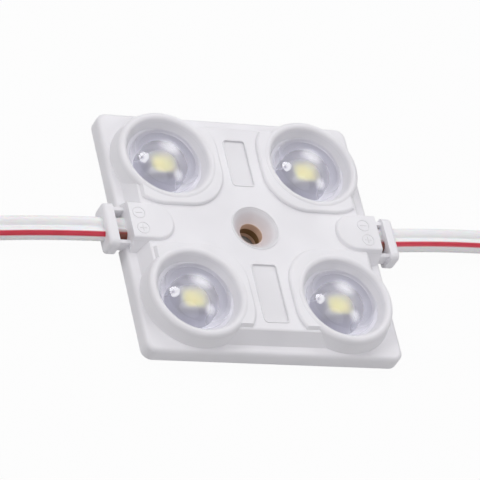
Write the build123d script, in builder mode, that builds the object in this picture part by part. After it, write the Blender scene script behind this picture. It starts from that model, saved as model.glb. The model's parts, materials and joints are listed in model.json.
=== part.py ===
from build123d import *
from math import asin, atan, cos, degrees, radians, sin, sqrt, tan
import os

# Four-lamp LED module: a white moulding cast round a small circuit board,
# four clear lenses in raised cups, a countersunk screw hole in the middle,
# and a twin lead held in a collar on the left and on the right.
# Millimetres. The origin is the middle of the underside, +X runs along the
# leads, +Z is the way the light goes. Heights count from the surface that
# the module lies on.

# Double-sided tape and its liner under the back
liner_thickness = 0.1
tape_thickness = 0.3
tape_margin = 4.0
tape_corner = 2.0
tape_hole_radius = 2.6

# Circuit board inside the moulding
back_skin = 0.6
board_wall = 2.0
board_corner = 1.5
board_thickness = 1.0

# Screw hole, for a 3 mm countersunk screw
screw_radius = 1.55
countersink_radius = 3.1
countersink_half_angle = 45.0

# Square plate of the moulding
plate_side = 36.0
plate_corner = 1.4
plate_height = 2.35
plate_top_round = 0.6
plate_foot_round = 0.2

# Raised deck on the plate, with sloping sides
ledge_width = 1.3
deck_rise = 1.8
deck_slope_run = 1.3
deck_edge_round = 0.45

# Cups round the four lenses
cup_margin = 0.55
bowl_spread = 1.0
bowl_round = 0.6
flank_spread = 1.0
cup_foot_depth = 0.5
crest_round = 0.6
crest_rise = 0.54

# Low rounded-square pads that the cups stand on
pad_spread = 1.2
pad_straight = 1.75
pad_rise = 0.44
pad_edge_round = 0.36

# Shallow panels sunk in the deck between the cups
panel_depth = 0.15
panel_corner = 0.5
panel_shift = -0.15
upper_panel_width = 3.1
upper_panel_length = 7.1
upper_panel_margin = 1.85
lower_panel_width = 3.5
lower_panel_length = 8.7
lower_panel_margin = 1.15

# Lens
lip_radius = 5.2
flange_width = 0.5
flange_thickness = 0.9
lip_height = 0.6
lip_width = 0.3
dome_gap = 0.15
dome_shoulder_radius = 1.95
dome_base_drop = 0.2
dome_height = 2.9
hollow_radius = 2.7
hollow_height = 1.9

# Light-emitting diode, 3.5 by 2.8 mm, with its own lead frame
package_length = 3.5
package_width = 2.8
package_height = 0.7
fill_length = 2.9
fill_width = 2.3
fill_corner = 0.6
fill_depth = 0.4
fill_draft = 26.0
terminal_thickness = 0.15
terminal_width = 2.3
terminal_gap = 0.5
terminal_proud = 0.1
anode_length = 1.0

# Chip resistors
resistor_length = 3.2
resistor_width = 1.6
resistor_height = 0.55
resistor_offset = 5.0

# Tongue, webs and collar where a lead comes out
tongue_setback = 0.4
tongue_length = 5.9
tongue_half_width = 2.6
tongue_rise = 0.45
tongue_flare = 1.0
tongue_edge_round = 0.3
window_length = 1.6
window_half_width = 2.2
web_half_width = 2.7
web_foot = 1.8
web_height = 1.75
collar_length = 1.4
collar_half_width = 3.2
collar_foot = 1.05
collar_height = 3.05
collar_corner = 0.8
collar_end_round = 0.45

# Twin lead, its bare conductors and its solder joints
wire_diameter = 1.7
wire_overlap = 0.04
wire_web = 0.6
conductor_diameter = 0.65
conductor_bare = 3.6
solder_foot_radius = 0.76
solder_top_radius = 0.5
solder_height = 0.9
lead_clearance = 0.3
lead_height = 2.45
lead_runs = (9.0, 14.0, 14.0, 12.0)
lead_last_turn = 8.0
left_lead_turn = 0.0
left_lead_aside = 0.0
right_lead_turn = 5.2
right_lead_aside = 0.25
arc_share = 0.45

# Heights that follow
back_z = liner_thickness + tape_thickness
board_z = back_z + back_skin
board_top = board_z + board_thickness
ledge_z = back_z + plate_height
deck_z = ledge_z + deck_rise
crest_z = deck_z + crest_rise
tongue_z = deck_z + tongue_rise
flange_z = board_top + flange_thickness
lip_z = flange_z + lip_height
dome_z = lip_z - dome_base_drop

# Lens and cup sizes that follow
flange_radius = lip_radius + flange_width
dome_radius = lip_radius - lip_width - dome_gap
crest_radius = lip_radius + bowl_spread
cup_foot_radius = crest_radius + flank_spread
pad_half = crest_radius + pad_spread

# Plan sizes that follow
tape_side = plate_side - 2 * tape_margin
board_side = plate_side - 2 * board_wall
cup_offset = plate_side / 2 - cup_margin - cup_foot_radius
deck_half = plate_side / 2 - ledge_width
deck_top_half = deck_half - deck_slope_run
deck_taper = degrees(atan(deck_slope_run / deck_rise))
deck_round_reach = deck_edge_round * tan(radians(45 - deck_taper / 2))
upper_panel_middle = deck_top_half - upper_panel_margin - upper_panel_length / 2
lower_panel_middle = lower_panel_margin + lower_panel_length / 2 - deck_top_half
tongue_end = plate_side / 2 - tongue_setback
tongue_tip = tongue_end - tongue_length
tongue_taper = degrees(atan(tongue_flare / (tongue_z - ledge_z)))
collar_start = tongue_end + window_length
wire_spacing = wire_diameter - wire_overlap
lead_start = board_side / 2 + lead_clearance

cup_places = [(-cup_offset, cup_offset), (cup_offset, cup_offset),
              (-cup_offset, -cup_offset), (cup_offset, -cup_offset)]

os.makedirs("parts", exist_ok=True)


def write(part, label):
    """Label a finished piece and write its STEP file."""
    part.label = label
    export_step(part, f"parts/{label}.step")


def tangent_point(point, centre, radius, side):
    """Where the line from a point touches a circle, left (1) or right (-1) of its centre."""
    away = centre - point
    turn = side * degrees(asin(radius / away.length))
    return point + away.normalized().rotate(Axis.Z, turn) * sqrt(away.length**2 - radius**2)


def spin_plane(place):
    """Upright plane through the axis of one cup, for profiles that are revolved."""
    return Plane((place[0], place[1], 0), x_dir=(1, 0, 0), z_dir=(0, -1, 0))


def spin_axis(place):
    """Axis of one cup."""
    return Axis((place[0], place[1], 0), (0, 0, 1))


# Release liner and tape, punched for the screw
def make_sheet(height, thickness):
    """One layer of the tape: a rounded square with the screw's hole."""
    with BuildPart() as sheet:
        with BuildSketch(Plane.XY.offset(height)):
            RectangleRounded(tape_side, tape_side, tape_corner)
            Circle(tape_hole_radius, mode=Mode.SUBTRACT)
        extrude(amount=thickness)
    return sheet.part


write(make_sheet(0, liner_thickness), "release_liner")
write(make_sheet(liner_thickness, tape_thickness), "adhesive_tape")

# Circuit board, drilled for the screw
with BuildPart() as circuit_board:
    with BuildSketch(Plane.XY.offset(board_z)):
        RectangleRounded(board_side, board_side, board_corner)
        Circle(screw_radius, mode=Mode.SUBTRACT)
    extrude(amount=board_thickness)
write(circuit_board.part, "circuit_board")


# Lamps: two terminals, package, phosphor and lens, one of each to a cup
def make_terminal(place, start, end):
    """One flat terminal of a lamp, between two distances along its length."""
    with BuildPart() as terminal:
        with BuildSketch(Plane((place[0] + (start + end) / 2, place[1], board_top))):
            Rectangle(end - start, terminal_width)
        extrude(amount=terminal_thickness)
    return terminal.part


def make_phosphor(place):
    """The yellow fill of a lamp's window, narrower at its floor."""
    top = Plane((place[0], place[1], board_top + package_height), z_dir=(0, 0, -1))
    with BuildPart() as phosphor:
        with BuildSketch(top):
            RectangleRounded(fill_length, fill_width, fill_corner)
        extrude(amount=fill_depth, taper=fill_draft)
    return phosphor.part


def make_package(place, inside):
    """A lamp's white body, cut to fit the pieces inside it."""
    with BuildPart() as package:
        with BuildSketch(Plane((place[0], place[1], board_top))):
            Rectangle(package_length, package_width)
        extrude(amount=package_height)
        add(inside, mode=Mode.SUBTRACT)
    return package.part


def make_lens(place):
    """Clear lens: flange under the moulding, lip, dome, and a hollow over the lamp."""
    with BuildPart() as lens:
        with BuildSketch(spin_plane(place)):
            with BuildLine():
                Polyline(
                    (hollow_radius, board_top),
                    (flange_radius, board_top),
                    (flange_radius, flange_z),
                    (lip_radius, flange_z),
                    (lip_radius, lip_z),
                    (lip_radius - lip_width, lip_z),
                    (lip_radius - lip_width, dome_z),
                    (dome_radius, dome_z),
                )
                TangentArc((dome_radius, dome_z), dome_joint, tangent=(0, 1))
                TangentArc((0, dome_z + dome_height), dome_joint, tangent=(1, 0))
                Line((0, dome_z + dome_height), (0, board_top + hollow_height))
                TangentArc((0, board_top + hollow_height), (hollow_radius, board_top), tangent=(1, 0))
            make_face()
        revolve(axis=spin_axis(place))
    return lens.part


# The dome is a flat arch: a small shoulder arc that runs on into one wide cap
cap_radius = (dome_radius**2 + dome_height**2 - 2 * dome_radius * dome_shoulder_radius) / (
    2 * (dome_height - dome_shoulder_radius))
cap_centre = Vector(0, dome_z + dome_height - cap_radius)
shoulder_centre = Vector(dome_radius - dome_shoulder_radius, dome_z)
dome_joint = cap_centre + (shoulder_centre - cap_centre).normalized() * cap_radius

anode_end = anode_length - package_length / 2
terminal_reach = package_length / 2 + terminal_proud
for number, place in enumerate(cup_places, start=1):
    anode = make_terminal(place, -terminal_reach, anode_end)
    cathode = make_terminal(place, anode_end + terminal_gap, terminal_reach)
    phosphor = make_phosphor(place)
    write(anode, f"led_anode_{number}")
    write(cathode, f"led_cathode_{number}")
    write(phosphor, f"led_phosphor_{number}")
    write(make_package(place, [anode, cathode, phosphor]), f"led_package_{number}")
    write(make_lens(place), f"lens_{number}")

# Chip resistors, one to each pair of lamps
resistors = []
for number, place in enumerate((resistor_offset, -resistor_offset), start=1):
    with BuildPart() as resistor:
        with BuildSketch(Plane((0, place, board_top))):
            Rectangle(resistor_length, resistor_width)
        extrude(amount=resistor_height)
    write(resistor.part, f"resistor_{number}")
    resistors.append(resistor.part)


# Leads
def lead_heading(side, turn):
    """The way a lead runs out, turned a little towards +Y."""
    return Vector(side * cos(radians(turn)), sin(radians(turn)), 0)


def lead_route(start, heading, side):
    """Corner points: straight out, down to the surface, then along it."""
    out, down, along, last = lead_runs
    lying = Vector(0, 0, wire_diameter / 2 - start.Z)
    ground = start + heading * (out + down) + lying
    bent = heading.rotate(Axis.Z, -side * lead_last_turn)
    return [start, start + heading * out, ground,
            ground + heading.rotate(Axis.Z, -side * lead_last_turn / 2) * along,
            ground + heading.rotate(Axis.Z, -side * lead_last_turn / 2) * along + bent * last]


def lead_radii(points):
    """Bend radii that leave a straight piece in the middle of every run."""
    radii = []
    for before, here, after in zip(points, points[1:], points[2:]):
        shorter = min((here - before).length, (after - here).length)
        bend = (here - before).get_angle(after - here)
        radii.append(arc_share * shorter / tan(radians(bend / 2)))
    return radii


def make_jacket(section, points, radii):
    """Two round wires joined by a narrow web, swept along the route."""
    with BuildPart() as jacket:
        with BuildLine() as route:
            FilletPolyline(*points, radius=radii)
        with BuildSketch(section):
            with GridLocations(wire_spacing, 0, 2, 1):
                Circle(wire_diameter / 2)
            Rectangle(wire_spacing, wire_web)
        sweep(path=route.line)
    return jacket.part


def make_jacket_bore(section):
    """The straight stretch of the jacket that the moulding closes on."""
    with BuildPart() as bore:
        with BuildSketch(section):
            with GridLocations(wire_spacing, 0, 2, 1):
                Circle(wire_diameter / 2)
            Rectangle(wire_spacing, wire_web)
        extrude(amount=lead_runs[0])
    return bore.part


def make_conductor(section, aside):
    """One bare conductor, from the jacket's end back to its solder joint."""
    with BuildPart() as conductor:
        with BuildSketch(section):
            with Locations((aside, 0)):
                Circle(conductor_diameter / 2)
        extrude(amount=-conductor_bare)
    return conductor.part


def make_solder(foot, conductor):
    """A cone of solder on the board, cast round the conductor's end."""
    with BuildPart() as solder:
        with Locations(foot):
            Cone(solder_foot_radius, solder_top_radius, solder_height,
                 align=(Align.CENTER, Align.CENTER, Align.MIN))
        add(conductor, mode=Mode.SUBTRACT)
    return solder.part


cast_round = []
for name, side, turn, aside in (("left", -1, left_lead_turn, left_lead_aside),
                                ("right", 1, right_lead_turn, right_lead_aside)):
    heading = lead_heading(side, turn)
    start = Vector(side * lead_start, aside, lead_height)
    across = Vector(0, 0, 1).cross(heading) * side
    section = Plane(start, x_dir=across, z_dir=heading)
    points = lead_route(start, heading, side)
    radii = lead_radii(points)
    print("lead radii", name, [round(radius, 1) for radius in radii])
    write(make_jacket(section, points, radii), f"lead_{name}")
    cast_round.append(make_jacket_bore(section))
    for pole, offset in (("minus", wire_spacing / 2), ("plus", -wire_spacing / 2)):
        conductor = make_conductor(section, offset)
        foot = start - heading * conductor_bare + across * offset
        solder = make_solder((foot.X, foot.Y, board_top), conductor)
        write(conductor, f"conductor_{name}_{pole}")
        write(solder, f"solder_{name}_{pole}")
        cast_round += [conductor, solder]


# Moulding
def make_plate():
    """The square plate with its rounded edges."""
    with BuildPart() as plate:
        with BuildSketch(Plane.XY.offset(back_z)):
            RectangleRounded(plate_side, plate_side, plate_corner)
        extrude(amount=plate_height)
        fillet(plate.edges().group_by(Axis.Z)[-1], radius=plate_top_round)
        fillet(plate.edges().group_by(Axis.Z)[0], radius=plate_foot_round)
    return plate.part


def make_deck():
    """The raised deck, its corners hidden in the cups."""
    with BuildPart() as deck:
        with BuildSketch(Plane.XY.offset(ledge_z)):
            RectangleRounded(2 * deck_half, 2 * deck_half, deck_half - cup_offset)
        extrude(amount=deck_rise, taper=deck_taper)
        fillet(deck.edges().group_by(Axis.Z)[-1], radius=deck_edge_round)
    return deck.part


crest_top = Vector(crest_radius, crest_z)
cup_foot = Vector(cup_foot_radius, ledge_z)
lip_edge = Vector(lip_radius, lip_z)
flank_top = tangent_point(cup_foot, crest_top - Vector(0, crest_round), crest_round, -1)
bowl_top = tangent_point(lip_edge, crest_top - Vector(0, bowl_round), bowl_round, 1)


def make_cup(place):
    """A cup before its bowl is cut: a steep flank up to the rounded crest."""
    with BuildPart() as cup:
        with BuildSketch(spin_plane(place)):
            with BuildLine():
                Polyline((0, crest_z), (0, ledge_z - cup_foot_depth),
                         (cup_foot_radius, ledge_z - cup_foot_depth), cup_foot, flank_top)
                RadiusArc(flank_top, crest_top, -crest_round)
                Line(crest_top, (0, crest_z))
            make_face()
        revolve(axis=spin_axis(place))
    return cup.part


def make_bowl(place):
    """The room inside a cup, down to the board, with the step that holds the lens."""
    with BuildPart() as bowl:
        with BuildSketch(spin_plane(place)):
            with BuildLine():
                Polyline((0, crest_z), (0, board_top), (flange_radius, board_top),
                         (flange_radius, flange_z), (lip_radius, flange_z), lip_edge, bowl_top)
                RadiusArc(bowl_top, crest_top, bowl_round)
                Line(crest_top, (0, crest_z))
            make_face()
        revolve(axis=spin_axis(place))
    return bowl.part


def make_pads():
    """The pads under the cups, ending where the deck's edge is rounded."""
    limit_half = deck_top_half - deck_round_reach
    with BuildPart() as pads:
        with BuildSketch(Plane.XY.offset(deck_z)):
            with Locations(*cup_places):
                RectangleRounded(2 * pad_half, 2 * pad_half, pad_half - pad_straight)
        extrude(amount=pad_rise)
        fillet(pads.edges().group_by(Axis.Z)[-1], radius=pad_edge_round)
        with BuildSketch(Plane.XY.offset(deck_z)):
            RectangleRounded(2 * limit_half, 2 * limit_half, limit_half - cup_offset)
        extrude(amount=pad_rise, taper=deck_taper, mode=Mode.INTERSECT)
    return pads.part


def make_tongue(side):
    """The tongue over a lead, round at its tip and wider at its foot."""
    foot_half_width = tongue_half_width + tongue_flare
    tip_centre = tongue_tip + tongue_half_width
    with BuildPart() as tongue:
        with BuildSketch(Plane.XY.offset(ledge_z)):
            with Locations((side * tip_centre, 0)):
                Circle(foot_half_width)
            with Locations((side * (tip_centre + foot_half_width), 0)):
                Rectangle(2 * foot_half_width, 2 * foot_half_width)
        extrude(amount=tongue_z - ledge_z, taper=tongue_taper)
        fillet(tongue.edges().group_by(Axis.Z)[-1], radius=tongue_edge_round)
        with BuildSketch(Plane.YZ.offset(side * tongue_end)):
            Rectangle(plate_side, plate_side)
        extrude(amount=side * plate_side, mode=Mode.SUBTRACT)
    return tongue.part


def make_collar(side):
    """The collar round a lead, with the two webs that carry it."""
    with BuildPart() as collar:
        with BuildSketch(Plane.YZ.offset(side * collar_start)):
            with Locations((0, collar_foot + collar_height / 2)):
                RectangleRounded(2 * collar_half_width, collar_height, collar_corner)
        extrude(amount=side * collar_length)
        fillet(collar.faces().sort_by(Axis.X)[-1 if side > 0 else 0].edges(), collar_end_round)
        with BuildSketch(Plane.YZ.offset(side * tongue_end)):
            with Locations((0, web_foot + web_height / 2)):
                Rectangle(2 * web_half_width, web_height)
                Rectangle(2 * window_half_width, web_height, mode=Mode.SUBTRACT)
        extrude(amount=side * window_length)
    return collar.part


with BuildPart() as housing:
    add(make_plate())
    add(make_deck())
    for place in cup_places:
        add(make_cup(place))
    add(make_pads())
    for side in (-1, 1):
        add(make_tongue(side))
        with BuildSketch(Plane.XY):
            with Locations((side * (tongue_end + window_length / 2), 0)):
                Rectangle(window_length, 2 * window_half_width)
        extrude(amount=tongue_z, mode=Mode.SUBTRACT)
        add(make_collar(side))
    for place in cup_places:
        add(make_bowl(place), mode=Mode.SUBTRACT)
    with BuildSketch(Plane.XZ):
        sink_z = deck_z - (countersink_radius - screw_radius) / tan(radians(countersink_half_angle))
        Polygon((0, back_z), (screw_radius, back_z), (screw_radius, sink_z),
                (countersink_radius, deck_z), (0, deck_z), align=None)
    revolve(axis=Axis.Z, mode=Mode.SUBTRACT)
    with BuildSketch(Plane.XY.offset(deck_z)):
        with Locations((panel_shift, upper_panel_middle)):
            RectangleRounded(upper_panel_width, upper_panel_length, panel_corner)
        with Locations((panel_shift, lower_panel_middle)):
            RectangleRounded(lower_panel_width, lower_panel_length, panel_corner)
    extrude(amount=-panel_depth, mode=Mode.SUBTRACT)
    for inner in [circuit_board.part, *resistors, *cast_round]:
        add(inner, mode=Mode.SUBTRACT)
write(housing.part, "housing")
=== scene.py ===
"""Four-lamp LED module on a white sweep: white moulding, clear domed lenses and two twin leads."""

import json
import logging
import math
from collections.abc import Callable, Sequence
from dataclasses import dataclass
from enum import Enum
from itertools import accumulate

import bmesh
import bpy
from mathutils import Matrix, Vector

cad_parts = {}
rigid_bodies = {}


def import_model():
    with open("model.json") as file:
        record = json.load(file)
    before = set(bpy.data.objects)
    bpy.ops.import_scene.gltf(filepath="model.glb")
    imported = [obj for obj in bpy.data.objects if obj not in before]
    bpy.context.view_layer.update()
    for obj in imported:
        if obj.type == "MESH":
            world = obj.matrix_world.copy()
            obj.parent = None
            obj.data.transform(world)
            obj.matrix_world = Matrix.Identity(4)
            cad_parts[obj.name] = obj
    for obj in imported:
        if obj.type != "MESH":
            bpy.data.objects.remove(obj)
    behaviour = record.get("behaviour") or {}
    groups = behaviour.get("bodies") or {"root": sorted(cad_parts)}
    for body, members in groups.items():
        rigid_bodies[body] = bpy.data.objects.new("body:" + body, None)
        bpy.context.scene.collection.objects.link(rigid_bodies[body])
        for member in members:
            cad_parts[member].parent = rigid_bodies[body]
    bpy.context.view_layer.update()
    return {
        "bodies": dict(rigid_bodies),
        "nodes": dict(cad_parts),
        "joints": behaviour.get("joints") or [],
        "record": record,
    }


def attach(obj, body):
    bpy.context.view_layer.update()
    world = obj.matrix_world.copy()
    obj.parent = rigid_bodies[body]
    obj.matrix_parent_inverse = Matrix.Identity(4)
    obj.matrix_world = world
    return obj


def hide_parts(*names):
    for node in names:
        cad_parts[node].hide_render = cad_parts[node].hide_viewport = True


Tree = bpy.types.NodeTree
Node = bpy.types.Node
Socket = bpy.types.NodeSocket
Material = bpy.types.Material
Piece = bpy.types.Object
Shape = bmesh.types.BMesh
Vert = bmesh.types.BMVert
Stops = Sequence[tuple[float, str]]
Span = tuple[float, float]

LOG = logging.getLogger("led_module")
MM = 0.001
BODY = "root"
WHITE = (1.0, 1.0, 1.0, 1.0)
WAVE_BAND = 0.314  # one band of the wave texture at a scale of 1
SPLINE_ORDER = 3  # quadratic
PLACE_DIGITS = 4  # decimals of a millimetre that tell two places apart
CUP_OFFSET = 10.25
CUP_CENTRES = {
    1: (-CUP_OFFSET, CUP_OFFSET),
    2: (CUP_OFFSET, CUP_OFFSET),
    3: (-CUP_OFFSET, -CUP_OFFSET),
    4: (CUP_OFFSET, -CUP_OFFSET),
}


class Side(Enum):
    """The two sides that a lead comes out of, with their sign along X."""

    LEFT = -1
    RIGHT = 1


class Pole(Enum):
    """The two wires, with the side of the lead's middle that each lies on."""

    MINUS = 1
    PLUS = -1


def srgb(code: str) -> tuple[float, float, float, float]:
    """Turn a hex colour, as in "#E8E6EC", into linear light with an alpha of 1."""
    parts = [int(code[i : i + 2], 16) / 255 for i in (1, 3, 5)]
    red, green, blue = (c / 12.92 if c <= 0.04045 else ((c + 0.055) / 1.055) ** 2.4 for c in parts)
    return (red, green, blue, 1.0)


def round_about(angle: float) -> Vector:
    """Return the flat unit vector at an angle in radians from +X towards +Y."""
    return Vector((math.cos(angle), math.sin(angle), 0))


def add_node(
    tree: Tree, kind: str, inputs: dict[str | int, object] | None = None, **settings: object
) -> Node:
    """Add one shader node with its settings, values and incoming links.

    Args:
        tree: the material's, lamp's or world's node tree.
        kind: the node's type name without "ShaderNode".
        inputs: input name or index to the output socket that feeds it, or to a constant.
        **settings: the node's own properties.

    Returns:
        The new node.
    """
    node = tree.nodes.new("ShaderNode" + kind)
    for name, value in settings.items():
        setattr(node, name, value)
    for key, value in (inputs or {}).items():
        if isinstance(value, Socket):
            tree.links.new(value, node.inputs[key])
        else:
            node.inputs[key].default_value = value
    return node


def add_math(tree: Tree, operation: str, *values: Socket | float) -> Socket:
    """Add one step of arithmetic.

    Args:
        tree: the node tree.
        operation: the step, as the math node names it.
        *values: a socket or a number for each input.

    Returns:
        The result.
    """
    return add_node(tree, "Math", dict(enumerate(values)), operation=operation).outputs[0]


def add_range(
    tree: Tree,
    value: Socket,
    source: Span = (0.0, 1.0),
    target: Span = (0.0, 1.0),
    **settings: object,
) -> Socket:
    """Map one range of values onto another, without going past its ends.

    Args:
        tree: the node tree.
        value: what is mapped.
        source: the range that it comes from.
        target: the range that it goes to.
        **settings: the node's own properties.

    Returns:
        The mapped value.
    """
    names = ("From Min", "From Max", "To Min", "To Max")
    inputs = {"Value": value, **dict(zip(names, source + target))}
    return add_node(tree, "MapRange", inputs, **settings).outputs["Result"]


def add_mix(tree: Tree, share: Socket, first: object, second: object, blend: str = "MIX") -> Socket:
    """Mix two colours.

    Args:
        tree: the node tree.
        share: how much of the second colour there is.
        first: a socket or a linear colour.
        second: a socket or a linear colour.
        blend: how the second colour acts on the first.

    Returns:
        The mixed colour.
    """
    inputs = {"Factor": share, 6: first, 7: second}
    return add_node(tree, "Mix", inputs, data_type="RGBA", blend_type=blend).outputs[2]


def add_ramp(tree: Tree, source: Socket, stops: Stops) -> Socket:
    """Add a colour ramp with the given stops.

    Args:
        tree: the node tree.
        source: what the ramp reads.
        stops: position and hex colour of each stop, in order.

    Returns:
        The ramp's colour output.
    """
    ramp = add_node(tree, "ValToRGB", {"Fac": source})
    elements = ramp.color_ramp.elements
    while len(elements) < len(stops):
        elements.new(1.0)
    for element, (position, code) in zip(elements, stops):
        element.position = position
        element.color = srgb(code)
    return ramp.outputs["Color"]


def add_reach(tree: Tree, place: Socket) -> Socket:
    """Add nodes that measure how far a place is from the upright axis through its origin."""
    flat = add_node(tree, "VectorMath", {0: place, 1: (1.0, 1.0, 0.0)}, operation="MULTIPLY")
    reach = add_node(tree, "VectorMath", {0: flat.outputs["Vector"]}, operation="LENGTH")
    return reach.outputs["Value"]


@dataclass(frozen=True)
class Finish:
    """What every finish shares: two tones, a relief and a Principled shader.

    Its depth is the relief's in millimetres, and its relief the share of it that shows.
    """

    name: str
    colour: str
    second: str
    roughness: float
    depth: float = 0.01
    relief: float = 0.4

    def start(self) -> tuple[Material, Tree, Node, Socket]:
        """Make the bare material.

        Returns:
            The material, its tree, its Principled node and the Object coordinates in millimetres.
        """
        material = bpy.data.materials.new(self.name)
        material.use_nodes = True
        tree = material.node_tree
        shader = tree.nodes["Principled BSDF"]
        shader.inputs["Base Color"].default_value = srgb(self.colour)
        shader.inputs["Roughness"].default_value = self.roughness
        material.diffuse_color = srgb(self.colour)
        metres = add_node(tree, "TexCoord").outputs["Object"]
        scale = add_node(tree, "VectorMath", {0: metres, 3: 1 / MM}, operation="SCALE")
        return material, tree, shader, scale.outputs["Vector"]

    def grain(self, tree: Tree, place: Socket, size: float, detail: float = 3.0) -> Socket:
        """Add noise whose blobs are about so many millimetres across."""
        inputs = {"Vector": place, "Scale": 1 / size, "Detail": detail}
        return add_node(tree, "TexNoise", inputs).outputs["Fac"]

    def tones(
        self, tree: Tree, source: Socket, edge: float = 0.35, pair: Sequence[str] = ()
    ) -> Socket:
        """Vary the colour between two tones, which start so far in from the ramp's ends."""
        first, second = pair or (self.colour, self.second)
        return add_ramp(tree, source, [(edge, first), (1 - edge, second)])

    def bump(self, tree: Tree, shader: Node, height: Socket) -> None:
        """Give the shader the finish's relief."""
        inputs = {"Height": height, "Strength": self.relief, "Distance": self.depth * MM}
        node = add_node(tree, "Bump", inputs)
        tree.links.new(node.outputs["Normal"], shader.inputs["Normal"])

    def scatter(self, shader: Node, weight: float, depth: float) -> None:
        """Let a share of the light so many millimetres into the material."""
        shader.inputs["Subsurface Weight"].default_value = weight
        shader.inputs["Subsurface Scale"].default_value = depth * MM


@dataclass(frozen=True)
class MouldedAbs(Finish):
    """White ABS from a spark-eroded mould: soft sheen and a faint tint, a little light goes in."""

    depth: float = 0.012
    relief: float = 0.5
    spark_size: float = 0.18
    flow_size: float = 6.0
    spark_band: Span = (0.3, 0.7)
    gloss_spread: Span = (-0.06, 0.08)
    scatter_weight: float = 0.12
    scatter_depth: float = 0.5
    scatter_tint: tuple[float, float, float] = (1.0, 0.95, 0.9)
    bore_radius: float = 1.56
    cone_radius: float = 3.1
    # painted shade of the bore: brown down its wall, greyer and pinker up its cone
    bore_shade_stops: Stops = ((0.0, "#DCBDA6"), (0.03, "#DCD0CF"), (0.35, "#DCD4D5"), (0.9, "#E4E1E4"))
    bore_shade_fade: Span = (0.6, 0.95)
    panel_height: float = 4.4
    panel_half_band: float = 0.025
    panel_tone: str = "#F8F8F8"

    def build(self) -> Material:
        """Make the material."""
        material, tree, shader, place = self.start()
        flow = self.grain(tree, place, self.flow_size, detail=1.0)
        colour = self.darken_sunk_panels(tree, place, self.tones(tree, flow, edge=0.3))
        tree.links.new(self.paint_bore_shade(tree, place, colour), shader.inputs["Base Color"])
        spark = self.grain(tree, place, self.spark_size)
        low, high = self.gloss_spread
        gloss = (self.roughness + low, self.roughness + high)
        rough = add_range(tree, spark, self.spark_band, gloss)
        tree.links.new(rough, shader.inputs["Roughness"])
        self.bump(tree, shader, spark)
        self.scatter(shader, self.scatter_weight, self.scatter_depth)
        shader.inputs["Subsurface Radius"].default_value = self.scatter_tint
        return material

    def darken_sunk_panels(self, tree: Tree, place: Socket, colour: Socket) -> Socket:
        """Make the sunk panels a little darker."""
        height = add_node(tree, "SeparateXYZ", {0: place}).outputs["Z"]
        away = add_math(tree, "ABSOLUTE", add_math(tree, "SUBTRACT", height, self.panel_height))
        inside = add_math(tree, "LESS_THAN", away, self.panel_half_band)
        return add_mix(tree, inside, colour, srgb(self.panel_tone), "MULTIPLY")

    def paint_bore_shade(self, tree: Tree, place: Socket, colour: Socket) -> Socket:
        """Paint brown shade on the bore's wall, and let the painted shade fade up its cone."""
        cone = add_range(tree, add_reach(tree, place), (self.bore_radius, self.cone_radius))
        tone = add_ramp(tree, cone, self.bore_shade_stops)
        return add_mix(tree, add_range(tree, cone, self.bore_shade_fade), tone, colour)


@dataclass(frozen=True)
class PolishedAcrylic(Finish):
    """Clear acrylic from a polished mould: sharp highlights, a faint blue body, slow ripples."""

    depth: float = 0.02
    relief: float = 0.25
    ior: float = 1.49
    ripple_size: float = 2.4
    matt_roughness: float = 0.8
    coat_roughness: float = 0.06
    shadow: str = "#EEEFF3"

    def build(self) -> Material:
        """Make the material; its shadow is let through, as a thin clear lens lets light through.

        The mesh's Frost attribute says how matt a face is, since only the dome is polished, and
        its Veil attribute how milky.
        """
        material, tree, shader, place = self.start()
        shader.inputs["IOR"].default_value = self.ior
        frost = add_node(tree, "Attribute", attribute_name="Frost").outputs["Fac"]
        veil = add_node(tree, "Attribute", attribute_name="Veil").outputs["Fac"]
        rough = add_range(tree, frost, target=(self.roughness, self.matt_roughness))
        clear = add_range(tree, veil, target=(1.0, 0.0))
        polish = add_range(tree, frost, target=(1.0, 0.0))
        ripple = self.grain(tree, place, self.ripple_size, detail=0.0)
        tree.links.new(rough, shader.inputs["Roughness"])
        tree.links.new(clear, shader.inputs["Transmission Weight"])
        tree.links.new(polish, shader.inputs["Coat Weight"])
        shader.inputs["Coat Roughness"].default_value = self.coat_roughness
        self.bump(tree, shader, ripple)
        tree.links.new(self.tones(tree, ripple, edge=0.3), shader.inputs["Base Color"])
        through = add_node(tree, "BsdfTransparent", {"Color": srgb(self.shadow)}).outputs["BSDF"]
        shaded = add_node(tree, "LightPath").outputs["Is Shadow Ray"]
        mix = add_node(tree, "MixShader", {0: shaded, 1: shader.outputs["BSDF"], 2: through})
        tree.links.new(mix.outputs["Shader"], tree.nodes["Material Output"].inputs["Surface"])
        return material


@dataclass(frozen=True)
class GlassEpoxyBoard(Finish):
    """Glass-epoxy board: solder mask on its faces, tan laminate with plies at its edges."""

    # the mask's grey is painted shade on the board under the lenses
    mask: str = "#9A9AA8"
    second_mask: str = "#91919E"
    ply: float = 0.2
    weave: float = 0.4
    face_share: Span = (0.6, 0.8)

    def build(self) -> Material:
        """Make the material."""
        material, tree, shader, place = self.start()
        normal = add_node(tree, "NewGeometry").outputs["Normal"]
        facing = add_node(tree, "SeparateXYZ", {0: normal}).outputs["Z"]
        face = add_range(tree, add_math(tree, "ABSOLUTE", facing), self.face_share)
        scale = WAVE_BAND / self.ply
        inputs = {"Vector": place, "Scale": scale, "Distortion": 1.5, "Detail": 2.0}
        plies = add_node(tree, "TexWave", inputs, bands_direction="Z").outputs["Fac"]
        weave = self.grain(tree, place, self.weave, detail=2.0)
        cover = self.tones(tree, weave, pair=(self.mask, self.second_mask))
        colour = add_mix(tree, face, self.tones(tree, plies, edge=0.2), cover)
        tree.links.new(colour, shader.inputs["Base Color"])
        self.bump(tree, shader, weave)
        return material


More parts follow.
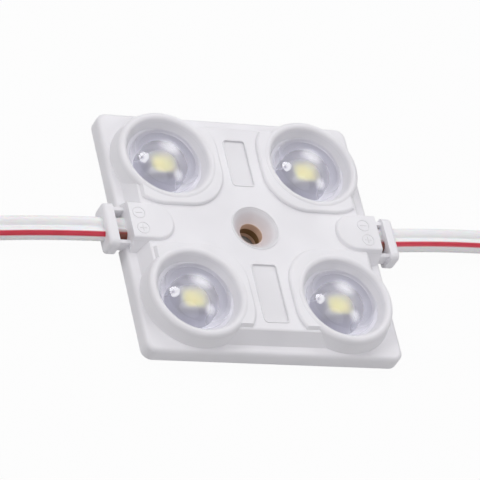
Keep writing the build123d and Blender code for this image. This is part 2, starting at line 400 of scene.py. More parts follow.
@dataclass(frozen=True)
class GrainedSolid(Finish):
    """A solid with fine grain in its colour and relief, metal or not."""

    relief: float = 0.6
    grain_size: float = 0.1
    metallic: float = 0.0

    def build(self) -> Material:
        """Make the material."""
        material, tree, shader, place = self.start()
        shader.inputs["Metallic"].default_value = self.metallic
        speck = self.grain(tree, place, self.grain_size)
        tree.links.new(self.tones(tree, speck), shader.inputs["Base Color"])
        self.bump(tree, shader, speck)
        return material


@dataclass(frozen=True)
class CastPhosphor(Finish):
    """Phosphor powder cast in clear silicone: deep yellow in the middle, pale where it thins."""

    depth: float = 0.006
    relief: float = 0.6
    powder_size: float = 0.09
    thin: str = "#C6C39C"
    thinning: Span = (0.85, 1.6)
    scatter_weight: float = 0.2
    scatter_depth: float = 0.3

    def build(self) -> Material:
        """Make the material; folding X and Y brings the four lamps onto one."""
        material, tree, shader, place = self.start()
        folded = add_node(tree, "VectorMath", {0: place}, operation="ABSOLUTE").outputs["Vector"]
        middle = (CUP_OFFSET, CUP_OFFSET, 0.0)
        local = add_node(tree, "VectorMath", {0: folded, 1: middle}, operation="SUBTRACT")
        away = add_range(tree, add_reach(tree, local.outputs["Vector"]), self.thinning)
        speck = self.grain(tree, place, self.powder_size)
        colour = add_mix(tree, away, self.tones(tree, speck), srgb(self.thin))
        tree.links.new(colour, shader.inputs["Base Color"])
        self.scatter(shader, self.scatter_weight, self.scatter_depth)
        self.bump(tree, shader, speck)
        return material


@dataclass(frozen=True)
class StripedPvc(Finish):
    """Soft PVC extruded over strand: satin skin with fine draw lines and one printed stripe.

    Places round the pair are shares of its outline, and places along it are millimetres.
    """

    draw_scale: tuple[float, float, float] = (60.0, 0.4, 1.0)
    stripe: str = "#C62C40"
    second_stripe: str = "#D83A50"
    stripe_middle: float = 0.64
    stripe_half_width: float = 0.04
    stripe_soft: float = 0.01
    scatter_weight: float = 0.25
    scatter_depth: float = 0.5
    window: Span = (1.0, 3.1)
    window_soft: float = 0.2
    striped_side: Span = (0.5, 0.64)
    # painted shade on the striped wire inside the collar's window
    window_shade_tone: str = "#7E4838"

    def build(self) -> Material:
        """Make the material; the UV map runs round the pair, then along it in millimetres."""
        material, tree, shader, _ = self.start()
        skin_map = add_node(tree, "UVMap", uv_map="Skin").outputs["UV"]
        around = add_node(tree, "SeparateXYZ", {0: skin_map})
        draw = add_node(tree, "Mapping", {"Vector": skin_map, "Scale": self.draw_scale})
        inputs = {"Vector": draw.outputs["Vector"], "Scale": 1.0, "Detail": 2.0}
        lines = add_node(tree, "TexNoise", inputs).outputs["Fac"]
        ink = self.tones(tree, lines, edge=0.3, pair=(self.stripe, self.second_stripe))
        offset = add_math(tree, "SUBTRACT", around.outputs["X"], self.stripe_middle)
        half, soft = self.stripe_half_width, self.stripe_soft
        striped = add_range(tree, add_math(tree, "ABSOLUTE", offset), (half + soft, half - soft))
        colour = add_mix(tree, striped, self.tones(tree, lines, edge=0.3), ink)
        colour = self.paint_window_shade(tree, around, colour)
        tree.links.new(colour, shader.inputs["Base Color"])
        self.scatter(shader, self.scatter_weight, self.scatter_depth)
        self.bump(tree, shader, lines)
        return material

    def paint_window_shade(self, tree: Tree, around: Node, colour: Socket) -> Socket:
        """Paint shade on the striped wire inside the collar's window, where the walls shade it."""
        (near, far), soft = self.window, self.window_soft
        start = add_range(tree, around.outputs["Y"], (near - soft, near + soft))
        end = add_range(tree, around.outputs["Y"], (far + soft, far - soft))
        striped = add_range(tree, around.outputs["X"], self.striped_side)
        inside = add_math(tree, "MULTIPLY", start, end)
        share = add_math(tree, "MULTIPLY", inside, striped)
        return add_mix(tree, share, colour, srgb(self.window_shade_tone))


@dataclass(frozen=True)
class WaxedPaper(Finish):
    """Siliconed release paper: pale, faintly fibrous, with a waxy sheen."""

    depth: float = 0.02
    stretch: tuple[float, float, float] = (1.0, 0.15, 1.0)

    def build(self) -> Material:
        """Make the material."""
        material, tree, shader, place = self.start()
        along = add_node(tree, "Mapping", {"Vector": place, "Scale": self.stretch})
        inputs = {"Vector": along.outputs["Vector"], "Scale": 3.0, "Detail": 5.0}
        fibre = add_node(tree, "TexNoise", inputs).outputs["Fac"]
        tree.links.new(self.tones(tree, fibre), shader.inputs["Base Color"])
        self.bump(tree, shader, fibre)
        return material


# Each material slot's finish: material and process, its two tones and its roughness.
FINISHES: dict[str, Finish] = {
    # ABS, injection moulded in a spark-eroded mould.
    "housing": MouldedAbs("abs_spark_moulded", "#ECEBEE", "#F2F1F4", 0.42),
    # Acrylic, injection moulded in a polished mould.
    "lens": PolishedAcrylic("acrylic_polished", "#F2F1F6", "#F8F7FB", 0.02),
    # Laminate of glass cloth and epoxy, with solder mask screened on it.
    "circuit_board": GlassEpoxyBoard("glass_epoxy_board", "#8A6A3E", "#6E5230", 0.5),
    # Filled resin, moulded round the lamp's lead frame; its grey is painted shade under the lens.
    "led_package": GrainedSolid(
        "package_resin_shaded", "#A3A3A6", "#AEAEB0", 0.35, depth=0.004, grain_size=0.12
    ),
    # Silicone with phosphor powder, cast into the package.
    "led_phosphor": CastPhosphor("phosphor_silicone_cast", "#EEE57E", "#F6F1B0", 0.35),
    # Copper strip, stamped and silver plated.
    "led_terminal": GrainedSolid(
        "silver_plated", "#D8D8D4", "#E6E6E2", 0.3, depth=0.003, grain_size=0.15, metallic=1.0
    ),
    # Ceramic chip, glazed dark.
    "resistor": GrainedSolid(
        "resistor_glaze", "#17171A", "#222226", 0.4, depth=0.005, grain_size=0.2
    ),
    # Soft PVC, extruded round both wires, with a printed stripe.
    "lead": StripedPvc("pvc_extruded_striped", "#F3F3F4", "#F9F9F9", 0.38),
    # Copper, drawn bare.
    "conductor": GrainedSolid(
        "copper_drawn", "#D9926A", "#E3A57E", 0.3, depth=0.004, grain_size=0.08, metallic=1.0
    ),
    # Tin solder, reflowed round each wire's end.
    "solder": GrainedSolid(
        "tin_solder_reflowed", "#BFC0C2", "#CFD0D2", 0.28, grain_size=0.3, metallic=1.0
    ),
    # Foam tape with adhesive on both faces, die cut.
    "adhesive_tape": GrainedSolid(
        "foam_tape_cut", "#E8E8E4", "#D6D6D0", 0.8, depth=0.03, grain_size=0.12
    ),
    # Paper with a silicone coat, die cut with the tape.
    "release_liner": WaxedPaper("release_paper_waxed", "#DACF9C", "#E6DDB4", 0.35),
}


class Workshop:
    """Keeps one material per finish and dresses pieces with them."""

    def __init__(self) -> None:
        """Make every material once."""
        self.materials = {slot: finish.build() for slot, finish in FINISHES.items()}

    def dress(self, piece: Piece, slot: str) -> None:
        """Give a piece the one material of a slot."""
        piece.data.materials.clear()
        piece.data.materials.append(self.materials[slot])

    def place(self, piece: Piece, slot: str, replaced: list[str] | None = None) -> None:
        """Dress a new piece, seat it on the body and hide the CAD nodes that it stands for.

        Args:
            piece: the finished piece, at the origin.
            slot: the record's material slot.
            replaced: the CAD nodes that it stands for.
        """
        self.dress(piece, slot)
        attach(piece, BODY)
        if replaced:
            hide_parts(*replaced)
        LOG.info("%s: %d faces", piece.name, len(piece.data.polygons))


def sort_by_place(items: Sequence, place: Callable[[object], Vector]) -> None:
    """Put vertices or faces in the order of their places, so that each run gives the same."""
    ordered = sorted(items, key=lambda item: [round(c, PLACE_DIGITS) for c in place(item)])
    ranks = {item: rank for rank, item in enumerate(ordered)}
    items.sort(key=ranks.get)


def finish_mesh(bm: Shape, name: str, angle: float = 35.0) -> Piece:
    """Close a bmesh off as an object with smooth faces and sharp edges.

    Args:
        bm: the shape, in millimetres.
        name: the piece's name.
        angle: edges that turn more than this many degrees stay sharp.

    Returns:
        The object, in metres, at the origin.
    """
    sort_by_place(bm.verts, lambda vert: vert.co)
    sort_by_place(bm.faces, lambda face: face.calc_center_median())
    bmesh.ops.transform(bm, matrix=Matrix.Scale(MM, 4), verts=bm.verts)
    mesh = bpy.data.meshes.new(name)
    bm.to_mesh(mesh)
    bm.free()
    mesh.shade_smooth()
    mesh.set_sharp_from_angle(angle=math.radians(angle))
    piece = bpy.data.objects.new(name, mesh)
    bpy.context.scene.collection.objects.link(piece)
    return piece


def trace_curve(points: list[Vector], kind: str, closed: bool, **settings: object) -> Shape:
    """Turn a curve through points into a mesh.

    Args:
        points: the points in millimetres.
        kind: the spline's type.
        closed: whether it ends where it starts.
        **settings: the curve's own properties.

    Returns:
        The mesh.
    """
    curve = bpy.data.curves.new("traced", "CURVE")
    curve.dimensions = "3D"
    for name, value in settings.items():
        setattr(curve, name, value)
    spline = curve.splines.new(kind)
    spline.points.add(len(points) - 1)
    for knot, point in zip(spline.points, points):
        knot.co = (*point, 1.0)
    spline.order_u = SPLINE_ORDER
    spline.use_endpoint_u = not closed
    spline.use_cyclic_u = closed
    carrier = bpy.data.objects.new("traced", curve)
    mesh = bpy.data.meshes.new_from_object(carrier)
    bm = bmesh.new()
    bm.from_mesh(mesh)
    bpy.data.objects.remove(carrier)
    bpy.data.curves.remove(curve)
    bpy.data.meshes.remove(mesh)
    return bm


def spin_round(bm: Shape, steps: int, merge: float) -> None:
    """Spin all that a bmesh holds once round the upright axis.

    Args:
        bm: the shape.
        steps: how many steps the full turn has.
        merge: vertices closer than this become one.
    """
    bmesh.ops.spin(
        bm,
        geom=bm.verts[:] + bm.edges[:],
        cent=(0, 0, 0),
        axis=(0, 0, 1),
        angle=math.tau,
        steps=steps,
        use_merge=True,
    )
    bmesh.ops.remove_doubles(bm, verts=bm.verts, dist=merge)


def add_rod(bm: Shape, sides: int, radius: float, length: float, matrix: Matrix) -> None:
    """Add one rod, cut square, with its middle at the matrix's origin and lying along its Z."""
    ends = {"radius1": radius, "radius2": radius, "cap_ends": True}
    bmesh.ops.create_cone(bm, segments=sides, depth=length, matrix=matrix, **ends)


@dataclass(frozen=True)
class Lamp:
    """One round lamp a metre from the module, facing it.

    Its azimuth runs in degrees from +X towards +Y, its elevation in degrees above the floor, and
    its width in metres. Core and rim are the shares of light at its middle and at its edge.
    """

    name: str
    azimuth: float
    elevation: float
    width: float
    watts: float
    core: float
    rim: float
    edge: float = 0.5  # the disc's radius in its own coordinates
    dark_core_fade: Span = (0.1, 0.2)
    dark_rim_fade: Span = (0.05, 0.5)
    steps: int = 200

    def build(self) -> None:
        """Hang the lamp."""
        data = bpy.data.lights.new(self.name, "AREA")
        data.shape = "DISK"
        data.size = self.width
        data.energy = self.watts / self.shade(data)
        lamp = bpy.data.objects.new(self.name, data)
        up = math.radians(self.elevation)
        place = round_about(math.radians(self.azimuth)) * math.cos(up)
        place.z = math.sin(up)
        lamp.location = place
        lamp.rotation_euler = place.to_track_quat("Z", "Y").to_euler()
        bpy.context.scene.collection.objects.link(lamp)

    def shade(self, data: bpy.types.Light) -> float:
        """Fade the light from middle to edge, as behind a diffuser, and return its mean share."""
        if self.core == self.rim:
            return self.core
        data.use_nodes = True
        tree = data.node_tree
        disc = add_node(tree, "NewGeometry").outputs["Parametric"]
        middle = (self.edge, self.edge, 0.0)
        offset = add_node(tree, "VectorMath", {0: disc, 1: middle}, operation="SUBTRACT")
        away = add_node(tree, "VectorMath", {0: offset.outputs["Vector"]}, operation="LENGTH")
        fade = self.dark_core_fade if self.core < self.rim else self.dark_rim_fade
        ends = (self.core, self.rim)
        eased = {"interpolation_type": "SMOOTHSTEP"}
        share = add_range(tree, away.outputs["Value"], fade, ends, **eased)
        tree.links.new(share, tree.nodes["Emission"].inputs["Strength"])
        return self.mean_share(*fade)

    def mean_share(self, near: float, far: float) -> float:
        """Average the share of light, which changes from near to far, over thin rings."""
        total = 0.0
        for step in range(self.steps):
            radius = self.edge * (step + 0.5) / self.steps
            part = min(max((radius - near) / (far - near), 0.0), 1.0)
            eased = part * part * (3 - 2 * part)
            total += (self.core + (self.rim - self.core) * eased) * radius
        return total / (self.steps * self.edge / 2)


@dataclass(frozen=True)
class Studio:
    """Camera, lamps, floor and white surround.

    The camera's place and lens are fitted to the photograph. Three of the lamps stand where their
    highlights on the domes say they stood, and the fourth lights the front.
    """

    camera_place: tuple[float, float, float] = (-204.481, -239.157, 348.362)
    right: tuple[float, float, float] = (0.899067, -0.202272, 0.388285)
    down: tuple[float, float, float] = (0.048582, -0.835307, -0.547633)
    forward: tuple[float, float, float] = (0.435108, 0.511222, -0.741170)
    lens: float = 273.726
    sensor: float = 36.0
    clip: Span = (0.01, 50.0)
    floor_side: float = 6.0
    card: str = "#CACACA"
    glow_share: float = 0.96
    glow_from: Span = (14.0, 16.0)
    fill: str = "#E2E0E5"
    fill_strength: float = 0.40
    lamps: tuple[Lamp, ...] = (
        Lamp("back_left", 149.0, 44.0, 0.46, 3.0, 0.1, 1.0),
        Lamp("back", 60.0, 41.0, 0.92, 2.6, 1.0, 0.0),
        Lamp("front_right", -31.0, 49.0, 0.6, 1.4, 1.0, 0.0),
        Lamp("front", -120.0, 55.0, 0.9, 1.8, 1.0, 1.0),
    )

    def build(self) -> None:
        """Set up the whole surround."""
        scene = bpy.context.scene
        scene.view_settings.view_transform = "Standard"
        self.add_camera(scene)
        self.add_floor()
        self.add_world(scene)
        for lamp in self.lamps:
            lamp.build()

    def add_camera(self, scene: bpy.types.Scene) -> None:
        """Place the fitted camera and make it the scene's own."""
        data = bpy.data.cameras.new("camera")
        data.sensor_width = self.sensor
        data.lens = self.lens
        data.clip_start, data.clip_end = self.clip
        camera = bpy.data.objects.new("camera", data)
        turn = Matrix((self.right, tuple(-c for c in self.down), tuple(-c for c in self.forward)))
        place = Vector(self.camera_place) * MM
        camera.matrix_world = Matrix.Translation(place) @ turn.transposed().to_4x4()
        scene.collection.objects.link(camera)
        scene.camera = camera

    def add_floor(self) -> None:
        """Lay a white floor that shows as white and still keeps a soft shadow."""
        bm = bmesh.new()
        bmesh.ops.create_grid(bm, x_segments=1, y_segments=1, size=self.floor_side / 2 / MM)
        floor = finish_mesh(bm, "floor")
        material = bpy.data.materials.new("floor_white_card")
        material.use_nodes = True
        tree = material.node_tree
        tree.nodes.clear()
        card = add_node(tree, "BsdfDiffuse", {"Color": srgb(self.card)}).outputs["BSDF"]
        glow = add_node(tree, "Emission", {"Color": WHITE, "Strength": 1.0}).outputs["Emission"]
        share = add_math(tree, "MULTIPLY", self.seen_directly(tree), self.beside_module(tree))
        mix = add_node(tree, "MixShader", {0: share, 1: card, 2: glow})
        add_node(tree, "OutputMaterial", {"Surface": mix.outputs["Shader"]})
        floor.data.materials.append(material)

    def beside_module(self, tree: Tree) -> Socket:
        """The share of glow: none under the module, so that its screw hole stays dark."""
        place = add_node(tree, "SeparateXYZ", {0: add_node(tree, "TexCoord").outputs["Object"]})
        sides = [add_math(tree, "ABSOLUTE", place.outputs[axis]) for axis in ("X", "Y")]
        start, end = self.glow_from
        away = add_math(tree, "MAXIMUM", *sides)
        return add_range(tree, away, (start * MM, end * MM), (0.0, self.glow_share))

    def seen_directly(self, tree: Tree) -> Socket:
        """Light Path's camera, glossy and transmission rays as one mask."""
        path = add_node(tree, "LightPath").outputs
        either = add_math(tree, "MAXIMUM", path["Is Camera Ray"], path["Is Glossy Ray"])
        return add_math(tree, "MAXIMUM", either, path["Is Transmission Ray"])

    def add_world(self, scene: bpy.types.Scene) -> None:
        """Give the surround a plain grey light, white where it is looked at."""
        world = bpy.data.worlds.new("surround")
        world.use_nodes = True
        tree = world.node_tree
        tree.nodes.clear()
        seen = add_node(tree, "LightPath").outputs["Is Camera Ray"]
        shades = ((srgb(self.fill), self.fill_strength), (WHITE, 1.0))
        fill, white = (
            add_node(tree, "Background", {"Color": tone, "Strength": power}).outputs["Background"]
            for tone, power in shades
        )
        mix = add_node(tree, "MixShader", {0: seen, 1: fill, 2: white})
        add_node(tree, "OutputWorld", {"Surface": mix.outputs["Shader"]})
        scene.world = world


@dataclass(frozen=True)
class TwinLead:
    """One side's lead: two round wires joined by a web, one of them striped, cut square.

    It leaves turned by some degrees from X and set aside along Y, and its roll moves the stripe
    round the pair. The runs are those of the route: out, down, along the floor and to the end.
    """

    side: Side
    turn: float
    aside: float
    roll: float = 0.0
    wire: float = 1.7
    overlap: float = 0.04
    pinch: float = 0.12
    start: float = 16.3
    height: float = 2.45
    runs: tuple[float, ...] = (9.0, 14.0, 14.0, 12.0)
    last_turn: float = 8.0
    collar_end: float = 20.6
    arc_points: int = 14
    curve_steps: int = 24
    sharp_angle: float = 40.0
    seam: float = 0.9
    end_gap: float = 0.12
    strand: float = 0.2
    strand_length: float = 0.4
    strand_sides: int = 12
    outer_strands: int = 6

    def heading(self, turned: float = 0.0) -> Vector:
        """The way the lead runs out, or has turned by so many degrees later on."""
        around = math.radians(self.turn)
        ahead = Vector((self.side.value * math.cos(around), math.sin(around), 0))
        ahead.rotate(Matrix.Rotation(math.radians(-self.side.value * turned), 3, "Z"))
        return ahead

    def route(self) -> list[Vector]:
        """The route's corner points in millimetres, as in the CAD."""
        out, down, along, last = self.runs
        ahead = self.heading()
        start = Vector((self.side.value * self.start, self.aside, self.height))
        ground = start + ahead * (out + down) + Vector((0, 0, self.wire / 2 - self.height))
        bend = ground + self.heading(self.last_turn / 2) * along
        end = bend + self.heading(self.last_turn) * (last - self.end_gap)
        return [start, start + ahead * out, ground, bend, end]

    def line(self) -> list[Vector]:
        """Points along the smooth line through the route, in millimetres."""
        bm = trace_curve(self.route(), "NURBS", False, resolution_u=self.curve_steps)
        line = [vert.co.copy() for vert in bm.verts]
        bm.free()
        return line

    def frames(self, line: list[Vector]) -> list[Matrix]:
        """Stand a frame on each point of the line: X across the pair, Y up, Z onwards."""
        frames = []
        for index, point in enumerate(line):
            before, after = line[max(index - 1, 0)], line[min(index + 1, len(line) - 1)]
            ahead = (after - before).normalized()
            across = Vector((0, 0, 1)).cross(ahead).normalized() * self.side.value
            lift = ahead.cross(across)
            if lift.z < 0:
                lift.negate()
            turn = Matrix((across, lift, ahead)).transposed().to_4x4()
            frames.append(Matrix.Translation(point) @ turn)
        return frames

    def section(self, bm: Shape) -> None:
        """Draw the pair's closed outline in the plane across the start of the line.

        Each wire is an arc spun round its own middle from the pinch between them, and the outline
        goes round the plain wire first.
        """
        radius = self.wire / 2
        apart = (self.wire - self.overlap) / 2
        half_arc = math.pi - math.acos((apart - self.pinch) / radius)
        last = None
        for pole in Pole:
            sign = pole.value
            middle = Vector((sign * apart, 0, 0))
            foot = Vector((sign * math.cos(half_arc), -sign * math.sin(half_arc), 0)) * radius
            vert = bm.verts.new(middle + foot)
            if last is not None:
                bm.edges.new((last, vert))
            spun = bmesh.ops.spin(
                bm,
                geom=[vert],
                cent=middle,
                axis=(0, 0, 1),
                angle=2 * half_arc,
                steps=2 * self.arc_points,
            )
            last = spun["geom_last"][0]
        bm.edges.new([vert for vert in bm.verts if len(vert.link_edges) == 1])

    def ordered(self, bm: Shape) -> list[Vert]:
        """Walk the closed outline from its first point and return its vertices in order."""
        bm.verts.ensure_lookup_table()
        first = bm.verts[0]
        ring, previous, here = [first], None, first
        while True:
            nearby = (edge.other_vert(here) for edge in here.link_edges)
            previous, here = here, next(vert for vert in nearby if vert is not previous)
            if here is first:
                return ring
            ring.append(here)

    def sweep(self, bm: Shape, ring: list[Vert], frames: list[Matrix]) -> list[list[Vert]]:
        """Extrude the outline from frame to frame and close both ends.

        Args:
            bm: the shape, which holds the outline.
            ring: the outline's vertices in order.
            frames: where each row of vertices goes.

        Returns:
            Each row's vertices in order.
        """
        flat = [vert.co.copy() for vert in ring]
        rows = [ring]
        for _ in frames[1:]:
            row = rows[-1]
            edges = [bm.edges.get(pair) for pair in zip(row, row[1:] + row[:1])]
            grown = bmesh.ops.extrude_edge_only(bm, edges=edges)["geom"]
            fresh = [item for item in grown if isinstance(item, Vert)]
            partner = {edge.other_vert(vert): vert for vert in fresh for edge in vert.link_edges}
            rows.append([partner[vert] for vert in row])
        for row, frame in zip(rows, frames):
            for vert, local in zip(row, flat):
                vert.co = frame @ local
        for row in (rows[0], rows[-1]):
            bmesh.ops.contextual_create(bm, geom=row)
        bmesh.ops.recalc_face_normals(bm, faces=bm.faces)
        return rows

    def unwrap(self, bm: Shape, rows: list[list[Vert]], line: list[Vector]) -> None:
        """Map the skin: round the pair from 0 to 1, and along it in millimetres."""
        lengths = [0.0, *accumulate((b - a).length for a, b in zip(line, line[1:]))]
        layer = bm.loops.layers.uv.new("Skin")
        spot = {}
        for row, length in zip(rows, lengths):
            for index, vert in enumerate(row):
                spot[vert] = (index / len(row), length)
        for face in bm.faces:
            shares = [spot[vert][0] for vert in face.verts]
            wraps = len(shares) == 4 and max(shares) > self.seam
            for loop in face.loops:
                around, along = spot[loop.vert]
                if wraps and around == 0:
                    around = 1.0
                loop[layer].uv = (around + self.roll, along)

    def strands(self, end: Matrix, workshop: Workshop) -> list[Piece]:
        """Show the cut end of the seven copper strands of each wire.

        Args:
            end: the frame at the far end.
            workshop: where the finish comes from.

        Returns:
            The two bundles.
        """
        turns = [math.tau * i / self.outer_strands for i in range(self.outer_strands)]
        spots = [Vector((0, 0, 0)), *(round_about(turn) * self.strand for turn in turns)]
        sink = (self.end_gap - self.strand_length) / 2
        bundles = []
        for pole in Pole:
            bm = bmesh.new()
            middle = Vector((pole.value * (self.wire - self.overlap) / 2, 0, sink))
            for spot in spots:
                seat = end @ Matrix.Translation(middle + spot)
                add_rod(bm, self.strand_sides, self.strand / 2, self.strand_length, seat)
            name = f"strands_{self.side.name.lower()}_{pole.name.lower()}"
            bundle = finish_mesh(bm, name)
            workshop.place(bundle, "conductor")
            bundles.append(bundle)
        return bundles

    def build(self, workshop: Workshop) -> None:
        line = self.line()
        frames = self.frames(line)
        bm = bmesh.new()
        self.section(bm)
        rows = self.sweep(bm, self.ordered(bm), frames)
        self.unwrap(bm, rows, line)
        node = f"lead_{self.side.name.lower()}"
        skin = finish_mesh(bm, f"{node}_skin", self.sharp_angle)
        workshop.place(skin, "lead", [node])
        hidden = self.collar_end - self.start
        gate = self.route()[0] + self.heading() * hidden
        self.strands(frames[-1], workshop)


@dataclass(frozen=True)
class Lens:
    """One clear lens, turned finely enough to refract smoothly.

    It stands 0.02 mm off the moulding's faces, so that no two faces lie in one place. Each finish
    is how matt and how milky a part of it is.
    """

    number: int
    floor: float = 2.02
    flange_radius: float = 5.68
    flange_top: float = 2.88
    lip_radius: float = 5.18
    lip_top: float = 3.5
    lip_width: float = 0.3
    dome_radius: float = 4.75
    shoulder: float = 1.95
    dome_foot: float = 3.3
    dome_height: float = 2.9
    hollow_radius: float = 2.7
    hollow_height: float = 1.9
    steps: int = 96
    arc_steps: int = 14
    merge: float = 0.002
    touch: float = 0.01
    sharp_angle: float = 30.0
    dome_finish: Span = (0.0, 0.0)
    lip_finish: Span = (0.95, 0.9)
    hollow_finish: Span = (0.8, 0.14)
    base_finish: Span = (0.9, 0.42)

    def arc(self, bm: Shape, start: Vert, centre: Vector, angle: float) -> Vert:
        """Swing a vertex about a centre, by radians from +X to +Z, and return the last vertex."""
        spun = bmesh.ops.spin(
            bm, geom=[start], cent=centre, axis=(0, -1, 0), angle=angle, steps=self.arc_steps
        )
        return spun["geom_last"][0]

    def profile(self, bm: Shape) -> None:
        """Draw half of the section: flange, lip and groove, then the dome and the hollow.

        The dome is a shoulder arc that runs on smoothly into a cap.
        """
        lip_inside = self.lip_radius - self.lip_width
        corners = [
            (self.hollow_radius, self.floor),
            (self.flange_radius, self.floor),
            (self.flange_radius, self.flange_top),
            (self.lip_radius, self.flange_top),
            (self.lip_radius, self.lip_top),
            (lip_inside, self.lip_top),
            (lip_inside, self.dome_foot),
            (self.dome_radius, self.dome_foot),
        ]
        verts = [bm.verts.new((x, 0, z)) for x, z in corners]
        for pair in zip(verts, verts[1:]):
            bm.edges.new(pair)
        rise, radius, shoulder = self.dome_height, self.dome_radius, self.shoulder
        cap = (radius**2 + rise**2 - 2 * radius * shoulder) / (2 * (rise - shoulder))
        cap_centre = Vector((0, 0, self.dome_foot + rise - cap))
        shoulder_centre = Vector((radius - shoulder, 0, self.dome_foot))
        swing = math.atan2(shoulder_centre.z - cap_centre.z, shoulder_centre.x)
        joint = self.arc(bm, verts[-1], shoulder_centre, swing)
        self.arc(bm, joint, cap_centre, math.pi / 2 - swing)
        sphere = (self.hollow_radius**2 + self.hollow_height**2) / (2 * self.hollow_height)
        hollow_centre = Vector((0, 0, self.floor + self.hollow_height - sphere))
        foot = math.atan2(sphere - self.hollow_height, self.hollow_radius)
        self.arc(bm, verts[0], hollow_centre, math.pi / 2 - foot)

    def frost(self, bm: Shape) -> None:
        """Mark how matt and how milky each face is: the lip and flange most, the dome not."""
        frost = bm.faces.layers.float.new("Frost")
        veil = bm.faces.layers.float.new("Veil")
        for face in bm.faces:
            middle = face.calc_center_median()
            out = middle.xy.length
            high = middle.z > self.dome_foot - self.touch
            if out > (self.dome_radius if high else self.lip_radius) - self.touch:
                finish = self.lip_finish
            elif out < self.hollow_radius and middle.z < self.floor + self.hollow_height:
                finish = self.hollow_finish
            elif middle.z < self.floor + self.touch:
                finish = self.base_finish
            else:
                finish = self.dome_finish
            face[frost], face[veil] = finish

    def build(self, workshop: Workshop) -> None:
        """Draw the profile, spin it round and replace the CAD lens."""
        bm = bmesh.new()
        self.profile(bm)
        spin_round(bm, self.steps, self.merge)
        bmesh.ops.recalc_face_normals(bm, faces=bm.faces)
        self.frost(bm)
        bmesh.ops.translate(bm, verts=bm.verts, vec=(*CUP_CENTRES[self.number], 0))
        lens = finish_mesh(bm, f"lens_{self.number}_clear", self.sharp_angle)
        workshop.place(lens, "lens", [f"lens_{self.number}"])


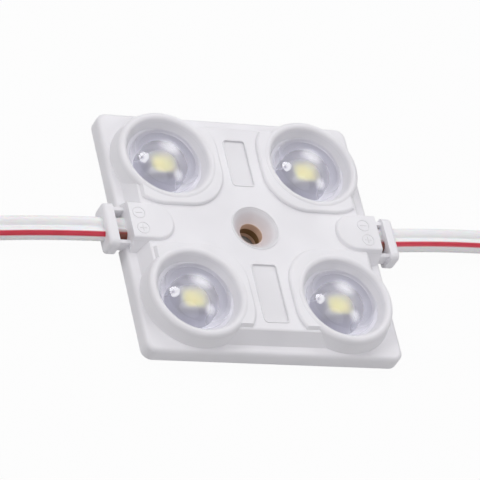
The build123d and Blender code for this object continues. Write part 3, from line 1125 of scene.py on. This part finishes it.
@dataclass(frozen=True)
class MouldedDetails:
    """Fine relief on the moulding: the signs, the rims of the bore and the panels' outlines.

    A sign has its middle along X and Y. A rim has a name, a radius, a height and its tube's
    radius. A panel has a name, its middle along Y, its width and its length.
    """

    tongue_top: float = 5.0
    ring_radius: float = 0.82
    ring_tube: float = 0.07
    ring_steps: int = 40
    bar_length: float = 0.9
    tube_sides: int = 10
    merge: float = 0.001
    rim_steps: int = 72
    deck_top: float = 4.55
    bead_tube: float = 0.11
    bead_rounding: int = 2  # the curve's bevel resolution
    panel_corner: float = 0.5
    panel_corner_steps: int = 6
    panel_x: float = -0.15
    signs: tuple[tuple[Side, Pole, float, float], ...] = (
        (Side.LEFT, Pole.MINUS, -16.3, 1.08),
        (Side.LEFT, Pole.PLUS, -16.1, -1.2),
        (Side.RIGHT, Pole.MINUS, 15.6, 1.0),
        (Side.RIGHT, Pole.PLUS, 15.8, -1.2),
    )
    rims: tuple[tuple[str, float, float, float], ...] = (
        ("countersink_rim", 3.22, 4.52, 0.14),
        ("bore_rim", 1.64, 3.03, 0.1),
    )
    panels: tuple[tuple[str, float, float, float], ...] = (
        ("panel_bead_upper", 10.0, 3.1, 7.1),
        ("panel_bead_lower", -9.9, 3.5, 8.7),
    )

    def build(self, workshop: Workshop) -> None:
        """Add the rims, outlines and signs; the moulding itself keeps its CAD shape."""
        for name, radius, height, tube in self.rims:
            turns = [math.tau * i / self.rim_steps for i in range(self.rim_steps)]
            circle = [round_about(turn) * radius + Vector((0, 0, height)) for turn in turns]
            workshop.place(self.bead(name, circle, tube), "housing")
        for name, *sizes in self.panels:
            workshop.place(self.bead(name, self.rounded(*sizes), self.bead_tube), "housing")
        for sign in self.signs:
            workshop.place(self.sign(*sign), "housing")

    def rounded(self, middle: float, width: float, length: float) -> list[Vector]:
        """Walk round a panel's outline at the deck's height, in millimetres."""
        corner, steps = self.panel_corner, self.panel_corner_steps
        reach_x, reach_y = width / 2 - corner, length / 2 - corner
        points = []
        for quarter, (x, y) in enumerate(((1, 1), (-1, 1), (-1, -1), (1, -1))):
            centre = Vector((self.panel_x + x * reach_x, middle + y * reach_y, self.deck_top))
            for step in range(steps + 1):
                angle = math.pi / 2 * (quarter + step / steps)
                points.append(centre + round_about(angle) * corner)
        return points

    def bead(self, name: str, points: list[Vector], tube: float) -> Piece:
        """Run a round bead with a tube's radius, half sunk, along a closed line."""
        rounding = self.bead_rounding
        bm = trace_curve(points, "POLY", True, bevel_depth=tube, bevel_resolution=rounding)
        bmesh.ops.recalc_face_normals(bm, faces=bm.faces)
        return finish_mesh(bm, name)

    def sign(self, side: Side, pole: Pole, x: float, y: float) -> Piece:
        """Raise one circled plus or minus on a tongue, with its middle at X and Y."""
        bm = bmesh.new()
        upright = Matrix.Rotation(math.pi / 2, 4, "X")
        out = Matrix.Translation((self.ring_radius, 0, 0))
        bmesh.ops.create_circle(
            bm, segments=self.tube_sides, radius=self.ring_tube, matrix=out @ upright
        )
        spin_round(bm, self.ring_steps, self.merge)
        lying = Matrix.Rotation(math.pi / 2, 4, "Y")
        for turn in (0.0,) if pole is Pole.MINUS else (0.0, math.pi / 2):
            seat = Matrix.Rotation(turn, 4, "Z") @ lying
            add_rod(bm, self.tube_sides, self.ring_tube, self.bar_length, seat)
        bmesh.ops.recalc_face_normals(bm, faces=bm.faces)
        bmesh.ops.translate(bm, verts=bm.verts, vec=(x, y, self.tongue_top))
        return finish_mesh(bm, f"sign_{side.name.lower()}_{pole.name.lower()}")


class CarriedNodes:
    """The CAD nodes that keep their own shape and get a finish."""

    def __init__(self, frame: dict[str, object]) -> None:
        """Read which slot each node has."""
        self.nodes = frame["nodes"]
        self.slots = {part["node"]: part["material_slot"] for part in frame["record"]["subparts"]}

    def build(self, workshop: Workshop) -> None:
        """Dress every node that still shows."""
        for name, node in sorted(self.nodes.items()):
            if not node.hide_render:
                workshop.dress(node, self.slots[name])
                LOG.info("%s keeps its CAD shape", name)


def main() -> None:
    """Build the scene: studio and leads first, then the moulding's details and the lenses."""
    logging.basicConfig(level=logging.INFO, format="%(message)s")
    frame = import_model()
    Studio().build()
    workshop = Workshop()
    TwinLead(Side.LEFT, 0.0, 0.0).build(workshop)
    TwinLead(Side.RIGHT, 5.2, 0.25, roll=0.02).build(workshop)
    MouldedDetails().build(workshop)
    for number in CUP_CENTRES:
        Lens(number).build(workshop)
    CarriedNodes(frame).build(workshop)


if __name__ == "__main__":
    main()
